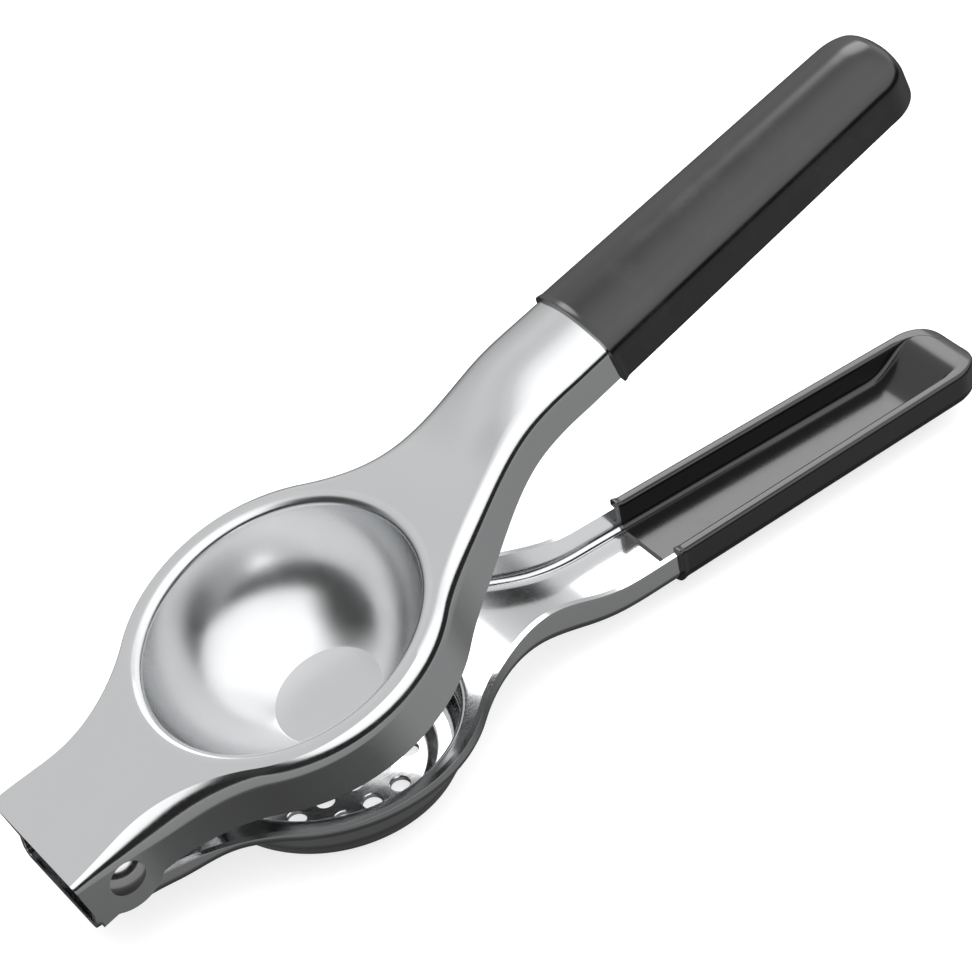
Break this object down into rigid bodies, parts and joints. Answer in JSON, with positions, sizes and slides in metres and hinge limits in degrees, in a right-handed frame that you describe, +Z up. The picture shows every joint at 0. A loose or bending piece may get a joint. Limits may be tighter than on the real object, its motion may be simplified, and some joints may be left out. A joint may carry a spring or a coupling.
{
  "type": "citrus squeezer",
  "caption": "Hand-held stamped steel citrus squeezer: a press cup and a perforated strainer bowl on two riveted lever arms with dipped vinyl grips.",
  "frame": {"origin": "centre of the strainer bowl's flat underside", "axes": "+X along the strainer arm from the hinge to its grip, +Z up out of the bowl, Y along the hinge axis"},
  "size_m": [0.2227, 0.0688, 0.0971],
  "materials": {
    "polished_steel": "polished stainless sheet with a fine satin grain",
    "rivet_steel": "bright formed rivet steel",
    "vinyl_grip": "glossy dip-moulded black vinyl"
  },
  "bodies": {
    "strainer_side": {"strainer_arm": "polished_steel", "strainer_grip": "vinyl_grip"},
    "press_side": {"press_arm": "polished_steel", "press_grip": "vinyl_grip", "hinge_rivet_left": "rivet_steel", "hinge_rivet_right": "rivet_steel"}
  },
  "joints": [
    {"name": "arm_hinge", "type": "hinge", "parent": "strainer_side", "child": "press_side", "pos_m": [-0.0522, 0, 0.0206], "axis": [0, -1, 0], "range_deg": [-15, 60]}
  ]
}
